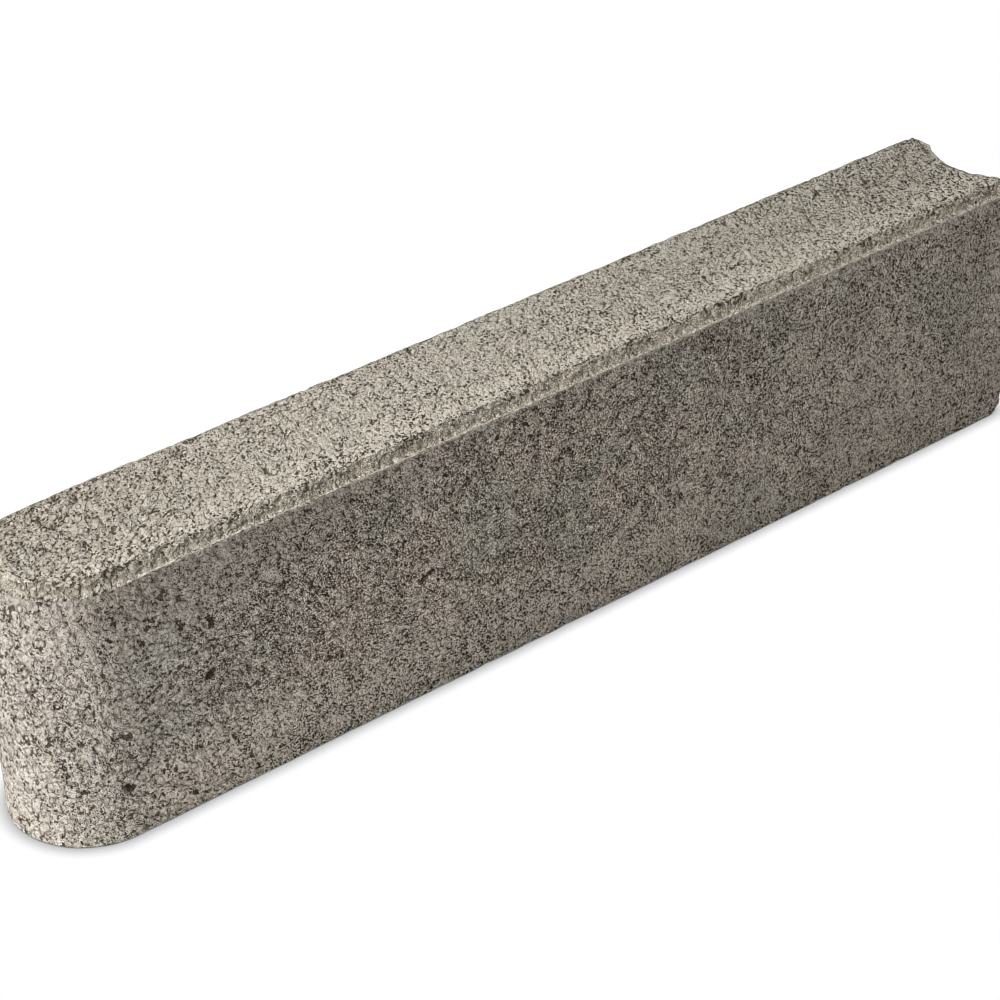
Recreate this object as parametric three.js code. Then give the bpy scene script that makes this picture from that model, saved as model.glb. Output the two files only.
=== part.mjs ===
// Concrete kerb stone with a round nose at one end and a hollow at the other.
// Laid nose to hollow, each stone can turn on the next, so a row follows a curve.
// It is one dry-cast block: the mould gives the upright sides, and the tamper head
// that presses the mix down gives the flat top with a bevel all round. Mix squeezed
// up between the head and the mould leaves a thin burr along the outer edge.
//
// Millimetres, +Z up. The bed face lies at Z = 0, the length runs along X with the
// hollow at +X, and the origin is the middle of the stone's plan.

import * as THREE from 'three';

// Driving dimensions
const LENGTH = 600; // tip of the nose to the ends of the horns
const WIDTH = 80; // between the two long sides
const HEIGHT = 140; // bed face to top face
const HORN_LAND = 14; // end of each horn, from the long side to the hollow
const HORN_CORNER_RADIUS = 5; // upright outer edge of each horn
const JOINT_CLEARANCE = 1; // between a nose and the hollow that it turns in
const BEVEL_WIDTH = 7; // long side to the edge of the top face
const BEVEL_DEPTH = 5.8; // top face down to the groove behind the burr
const BURR_HEIGHT = 1; // groove up to the crest of the burr
const BURR_CREST_WIDTH = 2.1; // level crest, along the outer edge
const BURR_FOOT_WIDTH = 3.2; // outer edge to the bottom of the groove
const ARRIS_RADIUS = 2; // rounding between the bevel and the top face
const HEAD_CORNER_RADIUS = 1; // least radius at the tamper head's own corners

// Facets on the round stretches
const NOSE_SEGMENTS = 32;
const HOLLOW_SEGMENTS = 16;
const CORNER_SEGMENTS = 4;
const ARRIS_SEGMENTS = 4;

// Places worked out from the driving dimensions
const NOSE_RADIUS = WIDTH / 2;
const NOSE_CENTRE_X = -LENGTH / 2 + NOSE_RADIUS;
const HOLLOW_RADIUS = NOSE_RADIUS + JOINT_CLEARANCE;
const HOLLOW_HALF_MOUTH = WIDTH / 2 - HORN_LAND;
const HOLLOW_CENTRE_X = LENGTH / 2 + Math.sqrt(HOLLOW_RADIUS ** 2 - HOLLOW_HALF_MOUTH ** 2);

function arcPoints(centreX, centreY, radius, from, to, segments) {
  const clockwise = to < from;
  const arc = new THREE.EllipseCurve(centreX, centreY, radius, radius, from, to, clockwise);
  return arc.getPoints(segments);
}

// Plan of the stone, moved inwards by inset, counter-clockwise as seen from above.
function planOutline(inset) {
  const halfWidth = WIDTH / 2 - inset;
  const hornX = LENGTH / 2 - inset;
  const cornerRadius = Math.max(HORN_CORNER_RADIUS - inset, HEAD_CORNER_RADIUS);
  const cornerX = hornX - cornerRadius;
  const cornerY = halfWidth - cornerRadius;
  const hollowRadius = HOLLOW_RADIUS + inset;
  const hollowAngle = Math.acos((HOLLOW_CENTRE_X - hornX) / hollowRadius);
  const quarter = Math.PI / 2;
  return [
    ...arcPoints(NOSE_CENTRE_X, 0, halfWidth, quarter, 3 * quarter, NOSE_SEGMENTS),
    ...arcPoints(cornerX, -cornerY, cornerRadius, 3 * quarter, 4 * quarter, CORNER_SEGMENTS),
    ...arcPoints(
      HOLLOW_CENTRE_X, 0, hollowRadius, Math.PI + hollowAngle, Math.PI - hollowAngle, HOLLOW_SEGMENTS,
    ),
    ...arcPoints(cornerX, cornerY, cornerRadius, 0, quarter, CORNER_SEGMENTS),
  ];
}

// Edge of the stone's section from the bed to the top, as inset and height pairs.
function edgeProfile() {
  const crestHeight = HEIGHT - BEVEL_DEPTH + BURR_HEIGHT;
  const grooveHeight = HEIGHT - BEVEL_DEPTH;
  const bevelAngle = Math.atan2(BEVEL_DEPTH, BEVEL_WIDTH - BURR_FOOT_WIDTH);
  const tangentLength = ARRIS_RADIUS * Math.tan(bevelAngle / 2);
  const arris = arcPoints(
    BEVEL_WIDTH + tangentLength, HEIGHT - ARRIS_RADIUS, ARRIS_RADIUS,
    Math.PI / 2 + bevelAngle, Math.PI / 2, ARRIS_SEGMENTS,
  );
  return [
    new THREE.Vector2(0, 0),
    new THREE.Vector2(0, crestHeight),
    new THREE.Vector2(BURR_CREST_WIDTH, crestHeight),
    new THREE.Vector2(BURR_FOOT_WIDTH, grooveHeight),
    ...arris,
  ];
}

// Rings of the plan stacked up the edge profile, closed by the bed and the top face.
function stoneGeometry() {
  const profile = edgeProfile();
  const rings = profile.map((point) => planOutline(point.x));
  const count = rings[0].length;
  const positions = [];
  const faces = [];
  rings.forEach((ring, level) => {
    ring.forEach((point) => positions.push(point.x, point.y, profile[level].y));
  });
  for (let level = 0; level < rings.length - 1; level++) {
    for (let i = 0; i < count; i++) {
      const next = (i + 1) % count;
      const low = level * count;
      const high = low + count;
      faces.push(low + i, low + next, high + next);
      faces.push(low + i, high + next, high + i);
    }
  }
  const topStart = (rings.length - 1) * count;
  for (const [a, b, c] of THREE.ShapeUtils.triangulateShape(rings[0], [])) {
    faces.push(c, b, a);
  }
  for (const [a, b, c] of THREE.ShapeUtils.triangulateShape(rings.at(-1), [])) {
    faces.push(topStart + a, topStart + b, topStart + c);
  }
  const geometry = new THREE.BufferGeometry();
  geometry.setAttribute('position', new THREE.Float32BufferAttribute(positions, 3));
  geometry.setIndex(faces);
  geometry.computeVertexNormals();
  return geometry;
}

function concreteMaterial() {
  return new THREE.MeshStandardMaterial({ color: 0xa39d92, roughness: 0.95, metalness: 0 });
}

const kerbStone = new THREE.Mesh(stoneGeometry(), concreteMaterial());
kerbStone.name = 'kerb_stone';

const part = new THREE.Group();
part.add(kerbStone);

export default part;
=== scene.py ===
import math
import random

import bpy
import numpy as np
from mathutils import Matrix, Vector
from mathutils.geometry import delaunay_2d_cdt


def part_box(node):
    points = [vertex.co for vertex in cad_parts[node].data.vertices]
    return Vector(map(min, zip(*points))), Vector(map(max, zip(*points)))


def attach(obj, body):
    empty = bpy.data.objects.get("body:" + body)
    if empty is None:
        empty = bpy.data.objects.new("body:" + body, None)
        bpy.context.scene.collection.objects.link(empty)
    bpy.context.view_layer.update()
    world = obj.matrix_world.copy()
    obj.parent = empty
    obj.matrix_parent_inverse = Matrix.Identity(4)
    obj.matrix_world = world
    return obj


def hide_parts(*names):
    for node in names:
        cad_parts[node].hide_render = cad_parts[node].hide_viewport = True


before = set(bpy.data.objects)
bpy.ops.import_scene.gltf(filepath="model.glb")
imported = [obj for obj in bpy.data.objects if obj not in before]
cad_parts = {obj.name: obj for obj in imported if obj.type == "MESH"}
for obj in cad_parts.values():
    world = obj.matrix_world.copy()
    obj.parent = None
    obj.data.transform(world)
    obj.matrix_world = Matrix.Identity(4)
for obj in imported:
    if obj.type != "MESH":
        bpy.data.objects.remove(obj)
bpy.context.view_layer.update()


# ----------------------------------------------------------------------------------------------
# The kerb stone. Dry, sandy concrete is tamped into a steel mould and turned out at once, which
# gives it upright sides, a round nose and a hollow end. The tamper head leaves a flat top with a
# bevel round it, and the mix that squeezes up past its edge stands as a thin burr along the wall.

MM = 0.001
block_low, block_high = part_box("kerb_stone")
block_length, block_width, block_height = block_high - block_low
horn_land = 14 * MM
horn_corner_radius = 5 * MM
joint_clearance = 1 * MM
bevel_width = 7 * MM
bevel_depth = 5.8 * MM
burr_height = 1 * MM
burr_crest_width = 2.1 * MM
burr_foot_width = 3.2 * MM
arris_radius = 2 * MM
head_corner_radius = 1 * MM

# Spacing of the mesh's points, wider on the plain bed, the steps over the narrow edge, and how far
# the hollow's arc turns.
skin_step = 1.68 * MM
bed_step = 4.5 * MM
burr_steps = 2
bevel_steps = 5
arris_steps = 3
hollow_turn = 0.87 * math.pi / 2

nose_radius = block_width / 2
nose_centre_x = block_low.x + nose_radius
hollow_radius = nose_radius + joint_clearance
hollow_centre_x = block_high.x + math.sqrt(hollow_radius ** 2 - (block_width / 2 - horn_land) ** 2)
crest_z = block_height - bevel_depth + burr_height
groove_z = block_height - bevel_depth


def evenly(start, end, count):
    """Count places from start towards end, leaving end itself to the next stretch."""
    return [start + (end - start) * i / count for i in range(count)]


def arc(centre_x, centre_y, radius, start, end, count):
    return [
        (centre_x + radius * math.cos(turn), centre_y + radius * math.sin(turn))
        for turn in evenly(start, end, count)
    ]


def straight(start, end, count):
    return list(zip(evenly(start[0], end[0], count), evenly(start[1], end[1], count)))


def plan_line(inset):
    """The stone's plan moved inwards by inset, as points about a skin step apart."""
    half = block_width / 2 - inset
    horn_x = block_high.x - inset
    corner = max(horn_corner_radius - inset, head_corner_radius)
    hollow = hollow_radius + inset
    swing = math.acos((hollow_centre_x - horn_x) / hollow)
    mouth = hollow * math.sin(swing)
    quarter = math.pi / 2
    side_points = round((block_length - nose_radius - horn_corner_radius) / skin_step)
    land_points = round((horn_land - horn_corner_radius) / skin_step)
    corner_points = round(quarter * horn_corner_radius / skin_step)
    nose_points = round(math.pi * nose_radius / skin_step)
    hollow_points = round(hollow_turn * hollow_radius / skin_step)
    return (
        arc(nose_centre_x, 0, half, quarter, 3 * quarter, nose_points)
        + straight((nose_centre_x, -half), (horn_x - corner, -half), side_points)
        + arc(horn_x - corner, corner - half, corner, -quarter, 0, corner_points)
        + straight((horn_x, corner - half), (horn_x, -mouth), land_points)
        + arc(hollow_centre_x, 0, hollow, math.pi + swing, math.pi - swing, hollow_points)
        + straight((horn_x, mouth), (horn_x, half - corner), land_points)
        + arc(horn_x - corner, half - corner, corner, 0, quarter, corner_points)
        + straight((horn_x - corner, half), (nose_centre_x, half), side_points)
    )


def edge_line():
    """The stone's edge from the bed up the side and over burr, groove and bevel: (inset, height)."""
    lean = math.atan2(bevel_depth, bevel_width - burr_foot_width)
    arris_inset = bevel_width + arris_radius * math.tan(lean / 2)
    quarter = math.pi / 2
    arris_z = block_height - arris_radius
    arris = arc(arris_inset, arris_z, arris_radius, quarter + lean, quarter, arris_steps)
    return (
        straight((0, 0), (0, crest_z), round(crest_z / skin_step))
        + straight((0, crest_z), (burr_crest_width, crest_z), burr_steps)
        + straight((burr_crest_width, crest_z), (burr_foot_width, groove_z), burr_steps)
        + straight((burr_foot_width, groove_z), arris[0], bevel_steps)
        + arris
        + [(arris_inset, block_height)]
    )


# Loose points of the flat faces, in steps: how near the edge they come, and how far off their rows
# they lie. The last two are the fill's own settings.
least_gap = 0.75
loose_by = 0.12
keep_inside = 1
same_place = 1e-7


def flat_fill(edge, step, seed):
    """Triangles that fill a closed edge, with loose points about a step apart inside it."""
    rng = random.Random(seed)
    margin = least_gap * step
    row_height = step * math.sqrt(3) / 2
    edge_inset = block_width / 2 - max(y for x, y in edge)
    half = block_width / 2 - edge_inset - margin
    inside = []
    for row in range(int(block_width / row_height) + 1):
        for column in range(int(block_length / step) + 1):
            x = block_low.x + (column + 0.5 * (row % 2) + rng.uniform(-loose_by, loose_by)) * step
            y = block_low.y + row * row_height + rng.uniform(-loose_by, loose_by) * step
            beside_nose = x < nose_centre_x and math.hypot(x - nose_centre_x, y) > half
            in_hollow = math.hypot(x - hollow_centre_x, y) < hollow_radius + edge_inset + margin
            past_horns = x > block_high.x - edge_inset - margin
            if abs(y) < half and not beside_nose and not in_hollow and not past_horns:
                inside.append((x, y))
    points = [Vector(place) for place in edge + inside]
    filled = delaunay_2d_cdt(points, [], [list(range(len(edge)))], keep_inside, same_place)
    came_from = [origin[0] for origin in filled[3]]
    return inside, [[came_from[corner] for corner in face] for face in filled[2]]


def cast_mesh():
    """The block as it leaves the mould, with each point's cast place and inset kept on it."""
    edge = edge_line()
    rings = [plan_line(inset) for inset, z in edge]
    around = len(rings[0])
    places, faces, insets = [], [], []
    for (inset, z), ring in zip(edge, rings):
        places += [(x, y, z) for x, y in ring]
        insets += [inset] * around
    for low in range(0, (len(rings) - 1) * around, around):
        for i in range(around):
            j = (i + 1) % around
            faces.append((low + i, low + j, low + around + j, low + around + i))
    top_start = (len(rings) - 1) * around
    inside, fill = flat_fill(rings[-1], skin_step, seed=11)
    extra = len(places) - around
    faces += [tuple(top_start + i if i < around else extra + i for i in face) for face in fill]
    places += [(x, y, block_height) for x, y in inside]
    insets += [block_width / 2] * len(inside)
    inside, fill = flat_fill(rings[0], bed_step, seed=12)
    extra = len(places) - around
    faces += [tuple(i if i < around else extra + i for i in reversed(face)) for face in fill]
    places += [(x, y, 0) for x, y in inside]
    insets += [0] * len(inside)
    mesh = bpy.data.meshes.new("kerb_stone_cast")
    mesh.from_pydata(places, [], faces)
    mesh.shade_smooth()
    sharp = mesh.attributes.new("sharp_edge", "BOOLEAN", "EDGE")
    ends = np.empty(2 * len(mesh.edges), int)
    mesh.edges.foreach_get("vertices", ends)
    ends = ends.reshape(-1, 2)
    in_bed_ring = np.all(ends < around, axis=1)
    apart = abs(ends[:, 0] - ends[:, 1])
    neighbours = (apart == 1) | (apart == around - 1)
    sharp.data.foreach_set("value", in_bed_ring & neighbours)
    cast_at = mesh.attributes.new("cast_at", "FLOAT_VECTOR", "POINT")
    cast_at.data.foreach_set("vector", np.array(places, np.float32).ravel())
    rim = mesh.attributes.new("inset", "FLOAT", "POINT")
    rim.data.foreach_set("value", np.array(insets, np.float32))
    return mesh


def join(tree, socket, value):
    """Sets a socket to a value, or joins another node's output to it."""
    if isinstance(value, bpy.types.NodeSocket):
        tree.links.new(value, socket)
    else:
        socket.default_value = value


def calc(tree, operation, *values):
    made = tree.nodes.new("ShaderNodeMath")
    made.operation = operation
    for socket, value in zip(made.inputs, values):
        join(tree, socket, value)
    return made.outputs[0]


def total(tree, *values):
    """The sum of any number of values."""
    made = values[0]
    for value in values[1:]:
        made = calc(tree, "ADD", made, value)
    return made


def times(tree, one, other):
    return calc(tree, "MULTIPLY", one, other)


def shift(tree, operation, *values):
    made = tree.nodes.new("ShaderNodeVectorMath")
    made.operation = operation
    for socket, value in zip(made.inputs, values):
        join(tree, socket, value)
    return made.outputs[0]


def scaled(tree, vector, size):
    made = shift(tree, "SCALE", vector)
    join(tree, made.node.inputs["Scale"], size)
    return made


def ramp(tree, value, start, end, low=0.0, high=1.0):
    """Goes smoothly from low to high as value goes from start to end."""
    made = tree.nodes.new("ShaderNodeMapRange")
    made.interpolation_type = "SMOOTHSTEP"
    for name, given in (("Value", value), ("From Min", start), ("From Max", end),
                        ("To Min", low), ("To Max", high)):
        join(tree, made.inputs[name], given)
    return made.outputs[0]


def part_of(tree, vector, index):
    made = tree.nodes.new("ShaderNodeSeparateXYZ")
    join(tree, made.inputs[0], vector)
    return made.outputs[index]


def noise(tree, at, size, detail=0.0, roughness=0.6):
    made = tree.nodes.new("ShaderNodeTexNoise")
    for name, given in (("Vector", at), ("Scale", 1 / size), ("Detail", detail), ("Roughness", roughness)):
        join(tree, made.inputs[name], given)
    return made.outputs


def around_zero(tree, fac):
    return calc(tree, "SUBTRACT", fac, 0.5)


def grains(tree, at, size):
    """Cells of about one size: how far from each grain's middle, and three chance values for it."""
    made = tree.nodes.new("ShaderNodeTexVoronoi")
    join(tree, made.inputs["Vector"], at)
    join(tree, made.inputs["Scale"], 1 / size)
    return made.outputs["Distance"], made.outputs["Color"]


# The face of the cast block: sand grains with open joins between them, pale flat stones and damp
# lumps in the mix, coarser toward the nose, where the mould filled last. Sizes in millimetres.

# Parts of the face, each as the inset, height or length where it starts and where it is full.
side_inset = (1.3, 0.7)
top_inset = (6.0, 8.5)
bevel_foot_inset = (2.6, 3.4)
bevel_head_inset = (7.4, 6.2)
arris_foot_inset = (3.5, 6.0)
arris_head_inset = (10.5, 7.5)
crest_inset = (2.9, 2.2)
crest_band_z = (133.2, 134.2)
crest_x = (-262.0, -245.0)
tamped_inset = 0.3
nose_x = (-140.0, -250.0)
under_burr_z = (126.0, 133.0)
foot_z = (52.0, 18.0)
top_ends_x = (150.0, 260.0)

# Sizes of the grain, and how far it is drawn out along the slope that the tamped mix slid on.
region_size = 48.0
wave_size = 16.0
clump_size = 11.0
patch_size = 9.0
looseness_size = 6.0
stone_size = 5.0
dot_size = 2.2
pore_size = 2.0
stir_size = 1.5
stir_reach = 0.8
sand_size = 1.0
fines_size = 0.65
slope = (-0.52, -0.657, 0.546)
slope_stretch = 1.4
slope_stretch_top = 2.4
back_line = 32.0
side_fineness = 1.1
top_fineness = 1.4

# Upright streaks that the rising mould drew in the wet side.
drag_size = 2.2
drag_shrink = (1.0, 1.0, 0.2)
drag_chance = (0.66, 0.74)
drag_z = (70.0, 110.0)

# How loose the mix lies: lower is more open, with deeper joins.
region_looseness = 0.3
top_middle_looseness = 0.03
top_ends_looseness = -0.05
loose_range = (0.38, 0.66)
loose_join_share = (1.3, 0.6)
loose_dot_range = (0.62, 0.4)
loose_dot_share = (0.5, 1.15)
loose_pit_range = (0.5, 0.35)
loose_pit_share = (0.0, 0.3)
loose_sink_range = (0.34, 0.24)
loose_sink = (0.0, -0.6)

# Joins between the sand grains: a share of the way out from a grain's middle, stirred by the pores.
join_share_top = 0.3
pore_share = -0.8
pore_share_top = -0.5
join_top = 0.1
coarse_join_share = 0.5
gap_range = (0.5, 0.85)
join_shade_range = (0.3, 0.75)
crevice_range = (0.59, 0.73)
crevice_fines = 0.5
crevice_nose = -0.01

# Round pinholes
dot_chance_range = (0.15, 1.0)
dot_reach_range = (0.0, 0.42)
dot_rim = (-0.05, 0.05)
dot_share_side = 0.3
dot_share_top = 0.7

# Flat stones, the round backs of others, and the odd place where one has dropped out.
stone_chance_range = (0.6, 0.65)
stone_reach = 0.26
stone_reach_spread = 0.2
stone_rim = (0.0, 0.06)
stone_rim_out = (-0.14, -0.05)
stone_rise_rim = (-0.02, 0.14)
cobble_range = (0.62, 0.12)
cobble_least = 0.35
spot_chance = 0.03
spot_range = (0.21, 0.12)

# Lumps of damp mix, and the seams that stay open between lumps.
clump_range = (0.57, 0.64)
clump_rim_out = (0.565, 0.585)
clump_rim_in = (0.60, 0.62)
clump_nose = 0.02
lump_reach = 0.82
lump_rim = (0.0, 0.35)
seam_width = (0.06, 0.0)
seam_looseness = 0.3
seam_nose = -0.1
seam_pore = 0.5
seam_patch = (0.56, 0.46)
arris_patch = (0.48, 0.6)
arris_pore = (-0.02, -0.1)
arris_sink_range = (0.5, 0.35)
arris_sink = (0.0, -0.5)

# Depths and heights
join_depth = 0.3
dome_depth = 1.1
dome_power = 3.0
hollow_depth = 0.9
dot_depth = 0.5
pore_height = 0.9
pore_height_nose = -0.4
pore_height_top = -0.6
looseness_height = 0.5
lump_height_nose = 0.2
stone_height = 0.35
cobble_height = 0.7
cobble_height_top = -0.3
wave_height = 0.9
hollow_pit = 0.9

# How far each part of the face, or each kind of lump, evens out the grain.
top_evenness = 0.65
nose_evenness = 0.5
crest_evenness = 0.8
bevel_evenness = 0.8
stone_evenness = 0.75
clump_evenness = 0.35
clump_evenness_nose = 0.3
under_burr_evenness = 0.45
clump_rim_share = 0.1
clump_rim_share_nose = 0.3
stone_rim_share = 0.2

# Voids left open in the face, each a short line between two places with a half width.
voids = [
    ((-217.6, -40.0, 65.9), (-213.8, -40.0, 69.7), 1.9),
    ((-97.5, -40.0, 65.6), (-89.7, -40.0, 67.8), 1.2),
    ((-159.7, -9.0, 140.0), (-162.4, -14.4, 140.0), 1.0),
    ((-297.0, -15.3, 128.1), (-296.9, -15.6, 126.1), 1.0),
    ((-266.4, -39.5, 29.8), (-260.8, -40.0, 26.1), 1.2),
    ((259.7, -40.0, 18.1), (262.8, -40.0, 17.5), 0.9),
]
void_depth = 2.2
void_raggedness = -1.2
void_rim = (0.35, -0.3)
out_of_reach = 9.0


def void_mark(tree, at, stir):
    """One inside the voids: there the way past both of a void's ends is hardly longer than the void."""
    nearest = out_of_reach
    for start, end, half_width in voids:
        half_length = (Vector(end) - Vector(start)).length / 2
        to_start = shift(tree, "DISTANCE", at, start).node.outputs["Value"]
        to_end = shift(tree, "DISTANCE", at, end).node.outputs["Value"]
        rim_way = 2 * math.hypot(half_length, half_width)
        spare = calc(tree, "SUBTRACT", calc(tree, "ADD", to_start, to_end), rim_way)
        nearest = calc(tree, "MINIMUM", spare, nearest)
    ragged = calc(tree, "MULTIPLY_ADD", stir, void_raggedness, nearest)
    return ramp(tree, ragged, *void_rim)


def less(tree, share, amount):
    """One, lowered by an amount of the share."""
    return calc(tree, "MULTIPLY_ADD", share, -amount, 1.0)


def summed(tree, start, *parts):
    """A start value, with each part's own weight of it added."""
    made = start
    for value, weight in parts:
        made = calc(tree, "MULTIPLY_ADD", value, weight, made)
    return made


def relief(tree, at, inset):
    """Heights and marks of the cast face, from a place and an inset in millimetres."""
    # The part of the face that the place lies on
    x = part_of(tree, at, 0)
    y = part_of(tree, at, 1)
    z = part_of(tree, at, 2)
    on_side = ramp(tree, inset, *side_inset)
    on_top = ramp(tree, inset, *top_inset)
    on_bevel = times(tree, ramp(tree, inset, *bevel_foot_inset), ramp(tree, inset, *bevel_head_inset))
    on_arris = times(tree, ramp(tree, inset, *arris_foot_inset), ramp(tree, inset, *arris_head_inset))
    on_crest = times(tree, ramp(tree, z, *crest_band_z), ramp(tree, inset, *crest_inset))
    on_crest = times(tree, on_crest, ramp(tree, x, *crest_x))
    tamped = calc(tree, "GREATER_THAN", inset, tamped_inset)
    nose_end = ramp(tree, x, *nose_x)
    under_burr = times(tree, on_side, ramp(tree, z, *under_burr_z))

    # Streaks from the mould
    upright = shift(tree, "MULTIPLY", at, drag_shrink)
    drag = ramp(tree, noise(tree, upright, drag_size)["Fac"], *drag_chance)
    drag = times(tree, drag, times(tree, on_side, ramp(tree, z, *drag_z)))

    # The same place in the mix before it slid, where the grain is round
    along = shift(tree, "DOT_PRODUCT", at, slope).node.outputs["Value"]
    drawn_share = summed(tree, 1 / slope_stretch - 1, (tamped, 1 / slope_stretch_top - 1 / slope_stretch))
    drawn_share = times(tree, drawn_share, calc(tree, "LESS_THAN", y, back_line))
    cast_place = at
    at = shift(tree, "ADD", at, scaled(tree, slope, times(tree, along, drawn_share)))
    at = scaled(tree, at, summed(tree, side_fineness, (tamped, top_fineness - side_fineness)))

    # How the mix lies: clumps, looser and firmer stretches, and grains stirred out of their rows
    clumps = noise(tree, at, clump_size, 1.0, 0.55)["Fac"]
    looseness = noise(tree, at, looseness_size, 1.0)["Fac"]
    region = around_zero(tree, noise(tree, at, region_size)["Fac"])
    from_middle = calc(tree, "ABSOLUTE", x)
    far_out = ramp(tree, from_middle, *top_ends_x, top_middle_looseness, top_ends_looseness)
    looseness = summed(tree, looseness, (region, region_looseness), (on_top, far_out))
    stir = noise(tree, at, stir_size)
    stirred = shift(tree, "SUBTRACT", stir["Color"], (0.5, 0.5, 0.5))
    stirred = shift(tree, "ADD", at, scaled(tree, stirred, stir_reach))
    void = void_mark(tree, cast_place, around_zero(tree, stir["Fac"]))

    # Sand, its open joins and the round pinholes
    grain, sand_chance = grains(tree, stirred, sand_size)
    pore = around_zero(tree, noise(tree, at, pore_size, 1.0, 0.5)["Fac"])
    fines = around_zero(tree, noise(tree, at, fines_size)["Fac"])
    pore_weight = summed(tree, pore_share, (on_top, pore_share_top))
    open_join = times(tree, grain, less(tree, on_top, join_share_top))
    open_join = summed(tree, open_join, (pore, pore_weight), (on_top, join_top))
    dots, dot_chance = grains(tree, stirred, dot_size)
    coarse_join = summed(tree, dots, (pore, pore_share))
    coarse_join = times(tree, nose_end, calc(tree, "SUBTRACT", coarse_join, open_join))
    open_join = summed(tree, open_join, (coarse_join, coarse_join_share))
    dot_reach = ramp(tree, part_of(tree, dot_chance, 0), *dot_chance_range, *dot_reach_range)
    dot_reach = times(tree, dot_reach, ramp(tree, looseness, *loose_dot_range, *loose_dot_share))
    dot = ramp(tree, calc(tree, "SUBTRACT", dot_reach, dots), *dot_rim)
    dot = times(tree, dot, summed(tree, dot_share_side, (on_top, dot_share_top)))

    # Flat stones, round backs and dropped stones
    stones, stone_chance = grains(tree, stirred, stone_size)
    stone_here = ramp(tree, part_of(tree, stone_chance, 0), *stone_chance_range)
    stone_edge = summed(tree, stone_reach, (part_of(tree, stone_chance, 1), stone_reach_spread))
    stone_edge = calc(tree, "SUBTRACT", stone_edge, stones)
    stone = times(tree, ramp(tree, stone_edge, *stone_rim), stone_here)
    gap_round_stone = times(
        tree, ramp(tree, stone_edge, *stone_rim_out), ramp(tree, stone_edge, *reversed(stone_rim)),
    )
    gap_round_stone = times(tree, gap_round_stone, stone_here)
    cobble_size = total(tree, cobble_least, part_of(tree, stone_chance, 2))
    cobble = times(tree, ramp(tree, stones, *cobble_range), cobble_size)
    spot = calc(tree, "LESS_THAN", part_of(tree, stone_chance, 0), spot_chance)
    spot = times(tree, ramp(tree, stones, *spot_range), spot)

    # Damp clumps and the seams between lumps
    clump = ramp(tree, summed(tree, clumps, (nose_end, clump_nose)), *clump_range)
    clump_rim = calc(
        tree, "SUBTRACT", ramp(tree, clumps, *clump_rim_out), ramp(tree, clumps, *clump_rim_in),
    )
    lump_edge = calc(tree, "SUBTRACT", lump_reach, stones)
    patch = noise(tree, at, patch_size)["Fac"]
    seam = summed(
        tree, lump_edge, (looseness, seam_looseness), (nose_end, seam_nose), (pore, seam_pore),
    )
    seam = times(tree, ramp(tree, seam, *seam_width), ramp(tree, patch, *seam_patch))
    crack = calc(tree, "MAXIMUM", seam, calc(tree, "MAXIMUM", spot, void))

    # How strongly the grain shows here
    looser = ramp(tree, looseness, *loose_range, *loose_join_share)
    clump_hold = summed(tree, -clump_evenness, (nose_end, -clump_evenness_nose))
    loose = summed(tree, looser, (clump, clump_hold), (under_burr, -under_burr_evenness))
    smooth_stone = less(tree, stone, stone_evenness)
    loose = times(tree, loose, smooth_stone)
    even = times(tree, less(tree, on_crest, crest_evenness), smooth_stone)
    even = times(tree, even, less(tree, on_bevel, bevel_evenness))
    rough = times(tree, less(tree, on_top, top_evenness), less(tree, nose_end, nose_evenness))
    rough = times(tree, rough, looser)

    # Small heights, which the light catches
    gap = times(tree, ramp(tree, open_join, *gap_range), loose)
    arris_pit = times(tree, ramp(tree, patch, *arris_patch), ramp(tree, pore, *arris_pore))
    arris_pit = total(tree, ramp(tree, looseness, *loose_pit_range, *loose_pit_share), arris_pit)
    clump_rim_weight = summed(tree, clump_rim_share, (nose_end, clump_rim_share_nose))
    hollow = summed(
        tree, crack, (clump_rim, clump_rim_weight), (on_arris, arris_pit),
        (gap_round_stone, stone_rim_share),
    )
    dome = calc(tree, "POWER", calc(tree, "MAXIMUM", open_join, 0.0), dome_power)
    depth = summed(tree, times(tree, gap, -join_depth), (dome, -dome_depth))
    pore_lift = summed(tree, pore_height, (nose_end, pore_height_nose), (on_top, pore_height_top))
    pore_lift = times(tree, pore_lift, less(tree, on_bevel, bevel_evenness))
    sunk_dot = times(tree, dot, even)
    stone_rise = times(tree, ramp(tree, stone_edge, *stone_rise_rim), stone_here)
    lump_rise = times(tree, ramp(tree, lump_edge, *lump_rim), nose_end)
    cobble_rise = summed(tree, cobble_height, (on_top, cobble_height_top))
    packed = summed(
        tree, times(tree, depth, times(tree, rough, even)), (hollow, -hollow_depth),
        (sunk_dot, -dot_depth), (lump_rise, lump_height_nose), (looseness, looseness_height),
        (cobble, cobble_rise), (stone_rise, stone_height), (pore, pore_lift),
    )

    # Large heights, which move the skin itself
    wave = around_zero(tree, noise(tree, at, wave_size, 1.0)["Fac"])
    swell = summed(
        tree, ramp(tree, looseness, *loose_sink_range, *loose_sink), (wave, wave_height),
        (on_arris, ramp(tree, clumps, *arris_sink_range, *arris_sink)), (void, -void_depth),
    )
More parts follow.
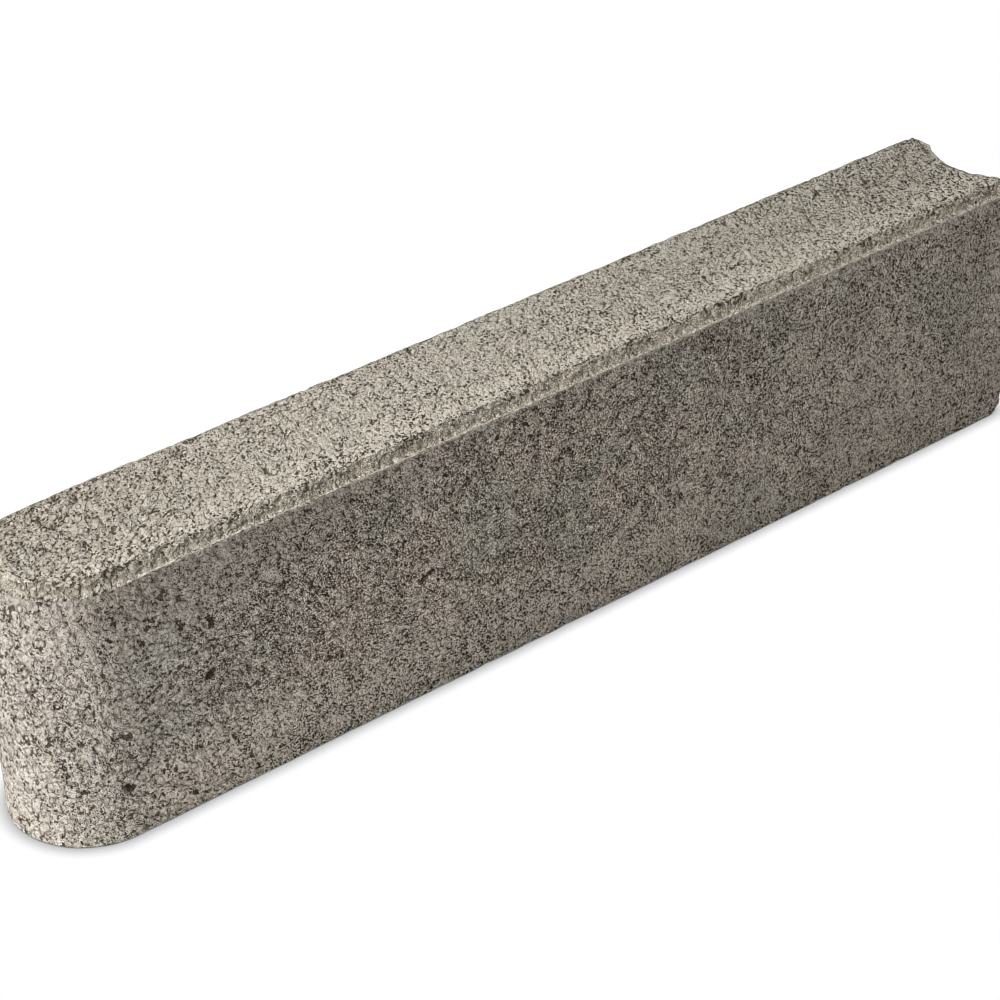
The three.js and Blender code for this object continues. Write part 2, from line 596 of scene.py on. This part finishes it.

    # Where shade is painted into the open joins, pinholes, seams and voids
    crevice = summed(tree, open_join, (nose_end, crevice_nose), (fines, crevice_fines))
    crevice = times(tree, times(tree, ramp(tree, crevice, *crevice_range), loose), even)
    crevice = calc(tree, "MAXIMUM", crevice, sunk_dot)
    pit_shade = calc(tree, "MINIMUM", summed(tree, crevice, (hollow, hollow_pit)), 1.0)
    return {
        "packed": packed, "swell": swell, "pit_shade": pit_shade, "join_shade": ramp(tree, open_join, *join_shade_range),
        "fines": fines, "sand_chance": sand_chance, "stone_chance": stone_chance,
        "looseness": looseness, "clump": clump, "stone": stone, "drag": drag,
        "on_top": on_top, "on_bevel": on_bevel, "on_crest": on_crest, "under_burr": under_burr,
        "nose_end": nose_end, "x": x, "y": y, "z": z,
        "on_side": on_side, "foot": times(tree, on_side, ramp(tree, z, *foot_z)),
    }


# The skin sinks a little everywhere, so that no lump stands proud of the mould's shape. The burr is
# worn down in places and fades out toward the nose.
skin_sink = -0.55
burr_inset = (2.8, 2.2)
burr_z = (134.0, 134.6)
wear_size = 9.0
wear_range = (0.42, 0.7)
most_worn = 0.55
burr_end_x = (-225.0, -258.0)


def press_relief(stone):
    """Moves the skin by the larger relief, and makes the result the stone's own mesh."""
    tree = bpy.data.node_groups.new("relief", "GeometryNodeTree")
    tree.interface.new_socket("Geometry", in_out="INPUT", socket_type="NodeSocketGeometry")
    tree.interface.new_socket("Geometry", in_out="OUTPUT", socket_type="NodeSocketGeometry")
    entry = tree.nodes.new("NodeGroupInput")
    out = tree.nodes.new("NodeGroupOutput")
    at = scaled(tree, tree.nodes.new("GeometryNodeInputPosition").outputs[0], 1 / MM)
    rim = tree.nodes.new("GeometryNodeInputNamedAttribute")
    rim.data_type = "FLOAT"
    rim.inputs["Name"].default_value = "inset"
    inset = times(tree, rim.outputs["Attribute"], 1 / MM)
    made = relief(tree, at, inset)
    depth = total(tree, made["swell"], skin_sink)
    depth = times(tree, calc(tree, "MINIMUM", depth, 0.0), MM)
    push = scaled(tree, tree.nodes.new("GeometryNodeInputNormal").outputs[0], depth)
    on_burr = times(tree, ramp(tree, inset, *burr_inset), ramp(tree, made["z"], *burr_z))
    worn = ramp(tree, noise(tree, at, wear_size, 2.0)["Fac"], *wear_range, 0.0, most_worn)
    faded = ramp(tree, made["x"], *burr_end_x)
    drop = times(tree, on_burr, calc(tree, "MAXIMUM", worn, faded))
    lower = tree.nodes.new("ShaderNodeCombineXYZ")
    join(tree, lower.inputs[2], times(tree, drop, -burr_height))
    move = tree.nodes.new("GeometryNodeSetPosition")
    join(tree, move.inputs["Geometry"], entry.outputs[0])
    join(tree, move.inputs["Offset"], shift(tree, "ADD", push, lower.outputs[0]))
    join(tree, out.inputs[0], move.outputs[0])
    stone.modifiers.new("relief", "NODES").node_group = tree
    depsgraph = bpy.context.evaluated_depsgraph_get()
    pressed = bpy.data.meshes.new_from_object(stone.evaluated_get(depsgraph))
    stone.modifiers.clear()
    stone.data = pressed
    pressed.name = "kerb_stone_cast"


# One lower corner has been knocked off the hollow end, and left a small broken face and a nick.
chip_middle = Vector((293.5, -40, 2.6)) * MM
chip_way = Vector((0.62, -0.45, -0.64)).normalized()
chip_roughness = 0.5 * MM
nick_middle = Vector((301, -40.5, 9)) * MM
nick_radius = 4.5 * MM
nick_way = Vector((-0.8, 0.6, 0))
nick_evenness = 0.7


def chip_corner(mesh):
    rng = random.Random(5)
    for point in mesh.vertices:
        past = (point.co - chip_middle).dot(chip_way)
        if past > 0:
            point.co -= chip_way * (past + rng.uniform(0, chip_roughness))
        from_nick = point.co - nick_middle
        if from_nick.length < nick_radius:
            pushed = (nick_radius - from_nick.length) * nick_way
            point.co += pushed * rng.uniform(nick_evenness, 1.0)


stone = bpy.data.objects.new("kerb_stone_cast", cast_mesh())
bpy.context.scene.collection.objects.link(stone)
press_relief(stone)
chip_corner(stone.data)

skin_roughness = 0.92
skin_shine = 0.12
bump_reach = 1.8 * MM

concrete = bpy.data.materials.new("concrete")
concrete.use_nodes = True
tree = concrete.node_tree
skin = tree.nodes["Principled BSDF"]
skin.inputs["Roughness"].default_value = skin_roughness
skin.inputs["Specular IOR Level"].default_value = skin_shine
cast = tree.nodes.new("ShaderNodeAttribute")
cast.attribute_name = "cast_at"
at = scaled(tree, cast.outputs["Vector"], 1 / MM)
rim = tree.nodes.new("ShaderNodeAttribute")
rim.attribute_name = "inset"
inset = times(tree, rim.outputs["Fac"], 1 / MM)
made = relief(tree, at, inset)
bump = tree.nodes.new("ShaderNodeBump")
bump.inputs["Distance"].default_value = bump_reach
bump.inputs["Strength"].default_value = 1.0
join(tree, bump.inputs["Height"], made["packed"])
join(tree, skin.inputs["Normal"], bump.outputs[0])


def mixed(tree, share, one, other, kind="MIX"):
    made = tree.nodes.new("ShaderNodeMix")
    made.data_type = "RGBA"
    made.blend_type = kind
    join(tree, made.inputs["Factor"], share)
    join(tree, made.inputs[6], one)
    join(tree, made.inputs[7], other)
    return made.outputs[2]


def shade_of(tree, value):
    made = tree.nodes.new("ShaderNodeCombineXYZ")
    for socket in made.inputs:
        join(tree, socket, value)
    return made.outputs[0]


# The body colour, in wide cloudy patches.
sand_beige = (0.67, 0.62, 0.53, 1)
wall_brown = (0.71, 0.617, 0.535, 1)
nose_grey = (0.70, 0.66, 0.60, 1)
dull_green = (0.53, 0.50, 0.42, 1)
lime_green = (0.64, 0.615, 0.53, 1)
patch_width = 38.0
brown_patch = (0.42, 0.62)
brown_share = 0.5
nose_share = 0.8
far_top_x = (-100.0, 280.0)
far_top_share = (0.1, 0.8)
green_patch = (0.54, 0.68)
green_share = 0.6

broad = noise(tree, at, patch_width)
browned = ramp(tree, broad["Fac"], *brown_patch)
colour = mixed(tree, times(tree, browned, brown_share), wall_brown, sand_beige)
colour = mixed(tree, times(tree, made["nose_end"], nose_share), colour, nose_grey)
colour = mixed(tree, made["on_top"], colour, sand_beige)
dull = times(tree, made["on_top"], ramp(tree, made["x"], *far_top_x, *far_top_share))
colour = mixed(tree, dull, colour, dull_green)
greened = ramp(tree, part_of(tree, broad["Color"], 1), *green_patch, 0.0, green_share)
colour = mixed(tree, greened, colour, lime_green)

# The bevel keeps a green cast, has painted shade along its foot, and is rubbed pale at its head near the
# nose.
bevel_green = (0.62, 0.595, 0.49, 1)
# Painted shade colour, for the bevel's foot and the open joins
shade_brown = (0.34, 0.27, 0.19, 1)
edge_beige = (0.78, 0.72, 0.615, 1)
bevel_share = 0.7
groove_shade_foot_inset = (3.2, 3.9)
groove_shade_head_inset = (5.2, 4.2)
groove_shade_share = 0.3
rubbed_foot_inset = (5.2, 6.0)
rubbed_head_inset = (8.4, 7.4)
rubbed_x = (80.0, -60.0)
rubbed_share = 0.9

colour = mixed(tree, times(tree, made["on_bevel"], bevel_share), colour, bevel_green)
# Painted shade along the bevel's foot, beside the groove behind the burr
groove_shade = ramp(tree, inset, *groove_shade_head_inset, 0.0, groove_shade_share)
groove_shade = times(tree, ramp(tree, inset, *groove_shade_foot_inset), groove_shade)
colour = mixed(tree, groove_shade, colour, shade_brown)
rubbed = times(tree, ramp(tree, inset, *rubbed_foot_inset), ramp(tree, inset, *rubbed_head_inset))
rubbed = times(tree, rubbed, ramp(tree, made["x"], *rubbed_x, 0.0, rubbed_share))
colour = mixed(tree, rubbed, colour, edge_beige)

# Each grain is a little lighter or darker than the next, and cement film clouds the sides.
grain_tone = (0.85, 1.12)
cloud_looseness = 0.9
cloud_stone = 0.22
fines_tone = 2.8
brightest = 1.4
brightest_nose = -0.45
brightest_top = -0.3
least_brightest = 0.92

tone = ramp(tree, part_of(tree, made["sand_chance"], 1), 0.0, 1.0, *grain_tone)
stone_tone = around_zero(tree, part_of(tree, made["stone_chance"], 1))
cloud = times(tree, around_zero(tree, made["looseness"]), cloud_looseness)
cloud = summed(tree, cloud, (stone_tone, cloud_stone))
tone = summed(tree, tone, (made["fines"], fines_tone), (made["on_side"], cloud))
limit = summed(tree, brightest, (made["nose_end"], brightest_nose), (made["on_top"], brightest_top))
tone = calc(tree, "MINIMUM", tone, calc(tree, "MAXIMUM", limit, least_brightest))
colour = mixed(tree, 1.0, colour, shade_of(tree, tone), "MULTIPLY")

# Damp lumps, flat stones, mould streaks and the strip under the burr are coated pale.
pale_cream = (0.71, 0.66, 0.58, 1)
pale_clump = 0.35
pale_stone = 0.3
pale_streak = 0.4
pale_strip = 0.25

pale = times(tree, made["clump"], pale_clump)
pale = summed(
    tree, pale, (made["stone"], pale_stone), (made["drag"], pale_streak),
    (made["under_burr"], pale_strip),
)
colour = mixed(tree, pale, colour, pale_cream)

# The foot of the side is lightened as painted bounce light from the floor, most toward the nose, and the
# side is paler toward its hollow end.
side_paling_grey = (0.80, 0.72, 0.63, 1)
foot_light_x = (200.0, -150.0)
foot_light_share = (0.25, 0.95)
foot_light_start_x = (-268.0, -240.0)
far_paleness_x = (-20.0, 200.0)
far_paleness_share = 0.45

# Painted bounce light along the foot of the side
foot_light_and_far_pale = times(tree, made["foot"], ramp(tree, made["x"], *foot_light_x, *foot_light_share))
foot_light_and_far_pale = times(tree, foot_light_and_far_pale, ramp(tree, made["x"], *foot_light_start_x))
# The side is paler toward its hollow end
far_paleness = ramp(tree, made["x"], *far_paleness_x, 0.0, far_paleness_share)
foot_light_and_far_pale = calc(tree, "MAXIMUM", foot_light_and_far_pale, times(tree, made["on_side"], far_paleness))
colour = mixed(tree, foot_light_and_far_pale, colour, side_paling_grey)

# The top is paler along its near edge. The upper side toward the nose is darker, partly damp stain and
# partly painted shade.
wall_umber = (0.54, 0.48, 0.425, 1)
near_edge_y = (-6.0, -26.0)
near_edge_share = 0.5
damp_and_shade_x = (-40.0, -180.0)
damp_and_shade_z = (90.0, 128.0)
damp_and_shade_nose_x = (-290.0, -255.0)
damp_and_shade_share = (0.35, 0.85)

near_edge = times(tree, made["on_top"], ramp(tree, made["y"], *near_edge_y, 0.0, near_edge_share))
colour = mixed(tree, near_edge, colour, edge_beige)
# Darker toward the top of the side near the nose: partly damp stain, partly painted shade
damp_and_shade = times(tree, ramp(tree, made["x"], *damp_and_shade_x), ramp(tree, made["z"], *damp_and_shade_z))
damp_and_shade_here = times(tree, made["on_side"], ramp(tree, made["x"], *damp_and_shade_nose_x, *damp_and_shade_share))
colour = mixed(tree, times(tree, damp_and_shade, damp_and_shade_here), colour, wall_umber)

# The burr's crest is a painted highlight. Open joins are painted shade: brown, their depths nearly black.
burr_highlight_cream = (0.77, 0.72, 0.63, 1)
# Painted shade colour for the depths of the open joins and pits
crevice_shade_black = (0.085, 0.058, 0.036, 1)
crest_highlight_share = 0.85
join_shade_share = 0.5
crevice_shade_share = 0.95

# Painted highlight along the burr's crest, where the ridge catches the light
colour = mixed(tree, times(tree, made["on_crest"], crest_highlight_share), colour, burr_highlight_cream)
# Painted shade: open joins darkened brown, their depths nearly black
colour = mixed(tree, times(tree, made["join_shade"], join_shade_share), colour, shade_brown)
colour = mixed(tree, times(tree, made["pit_shade"], crevice_shade_share), colour, crevice_shade_black)
join(tree, skin.inputs["Base Color"], colour)
stone.data.materials.append(concrete)


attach(stone, "root")
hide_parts("kerb_stone")


# ----------------------------------------------------------------------------------------------
# The studio floor. A wide plain sheet that looks white to the camera, darkens only close under the
# stone's bottom edge, and throws pale grey light back on the stone.

floor_half = 12
floor_drop = 0.4 * MM
floor_white = 1.0
contact_reach = 8 * MM
contact_samples = 2
floor_oval = (0.55, 1.0, 0.0)
floor_fade = (0.15, 0.5)
floor_paleness = (0.96, 0.35)

floor_mesh = bpy.data.meshes.new("floor")
floor_mesh.from_pydata(
    [(x, y, -floor_drop) for x, y in ((-floor_half, -floor_half), (floor_half, -floor_half),
                                      (floor_half, floor_half), (-floor_half, floor_half))],
    [], [(0, 1, 2, 3)],
)
floor = bpy.data.objects.new("floor", floor_mesh)
bpy.context.scene.collection.objects.link(floor)
white_sheet = bpy.data.materials.new("white_sheet")
white_sheet.use_nodes = True
tree = white_sheet.node_tree
tree.nodes.clear()
rays = tree.nodes.new("ShaderNodeLightPath").outputs
seen = calc(tree, "MAXIMUM", rays["Is Camera Ray"], rays["Is Glossy Ray"])
seen = calc(tree, "MAXIMUM", seen, rays["Is Transmission Ray"])
pale_grey = tree.nodes.new("ShaderNodeBsdfDiffuse")
floor_place = tree.nodes.new("ShaderNodeNewGeometry").outputs["Position"]
out_from_stone = shift(tree, "MULTIPLY", floor_place, floor_oval)
out_from_stone = shift(tree, "LENGTH", out_from_stone).node.outputs["Value"]
shade = ramp(tree, out_from_stone, *floor_fade, *floor_paleness)
join(tree, pale_grey.inputs["Color"], shade_of(tree, shade))
glow = tree.nodes.new("ShaderNodeEmission")
glow.inputs["Strength"].default_value = floor_white
contact = tree.nodes.new("ShaderNodeAmbientOcclusion")
contact.inputs["Distance"].default_value = contact_reach
contact.samples = contact_samples
join(tree, glow.inputs["Color"], contact.outputs["Color"])
choose = tree.nodes.new("ShaderNodeMixShader")
join(tree, choose.inputs[0], seen)
join(tree, choose.inputs[1], pale_grey.outputs[0])
join(tree, choose.inputs[2], glow.outputs[0])
sheet_out = tree.nodes.new("ShaderNodeOutputMaterial")
join(tree, sheet_out.inputs[0], choose.outputs[0])
floor_mesh.materials.append(white_sheet)


# ----------------------------------------------------------------------------------------------
# The studio light. Pale walls all round give a soft even fill, and two lamps stand to the left of
# the stone, a strong one high up and a little behind it and a second one low by the nose.

wall_strength = 0.26
lamp_aim = Vector((0, 0, 0.1))

world = bpy.data.worlds.new("studio")
bpy.context.scene.world = world
world.use_nodes = True
tree = world.node_tree
wall_light = tree.nodes["Background"]
wall_light.inputs["Color"].default_value = (1, 1, 1, 1)
wall_light.inputs["Strength"].default_value = wall_strength


def stand_lamp(name, place, size, power):
    lamp_light = bpy.data.lights.new(name, "AREA")
    lamp_light.size = size
    lamp_light.energy = power
    lamp = bpy.data.objects.new(name, lamp_light)
    lamp.location = place
    lamp.rotation_euler = (lamp_aim - lamp.location).to_track_quat("-Z", "Y").to_euler()
    bpy.context.scene.collection.objects.link(lamp)


stand_lamp("high_lamp", (-0.92, 0.33, 1.78), size=0.6, power=26)
stand_lamp("low_lamp", (-2.24, -0.36, 0.5), size=0.5, power=28)


# ----------------------------------------------------------------------------------------------
# The camera. It stands about a metre and a half from the stone's middle, looks down on it by a
# third of a right angle, and is tilted by just over a degree.

camera_azimuth = math.radians(-38.331)
camera_elevation = math.radians(33.101)
camera_roll = math.radians(-1.294)
camera_place = Vector((-787.06, -971.24, 864.21)) * MM
camera_focal_pixels = 3028.9
picture_width_pixels = 1000
film_width = 36
pixel_filter_width = 1.0

back = Vector((
    math.sin(camera_azimuth) * math.cos(camera_elevation),
    -math.cos(camera_azimuth) * math.cos(camera_elevation),
    math.sin(camera_elevation),
))
right = (-back).cross(Vector((0, 0, 1))).normalized()
up = right.cross(-back)
rolled_right = math.cos(camera_roll) * right + math.sin(camera_roll) * up
rolled_up = math.cos(camera_roll) * up - math.sin(camera_roll) * right
camera = bpy.data.objects.new("camera", bpy.data.cameras.new("camera"))
camera.data.sensor_fit = "HORIZONTAL"
camera.data.sensor_width = film_width
camera.data.lens = camera_focal_pixels * film_width / picture_width_pixels
turn = Matrix((rolled_right, rolled_up, back)).transposed()
camera.matrix_world = Matrix.Translation(camera_place) @ turn.to_4x4()
bpy.context.scene.collection.objects.link(camera)
bpy.context.scene.camera = camera

bpy.context.scene.view_settings.view_transform = "Standard"
bpy.context.scene.cycles.filter_width = pixel_filter_width
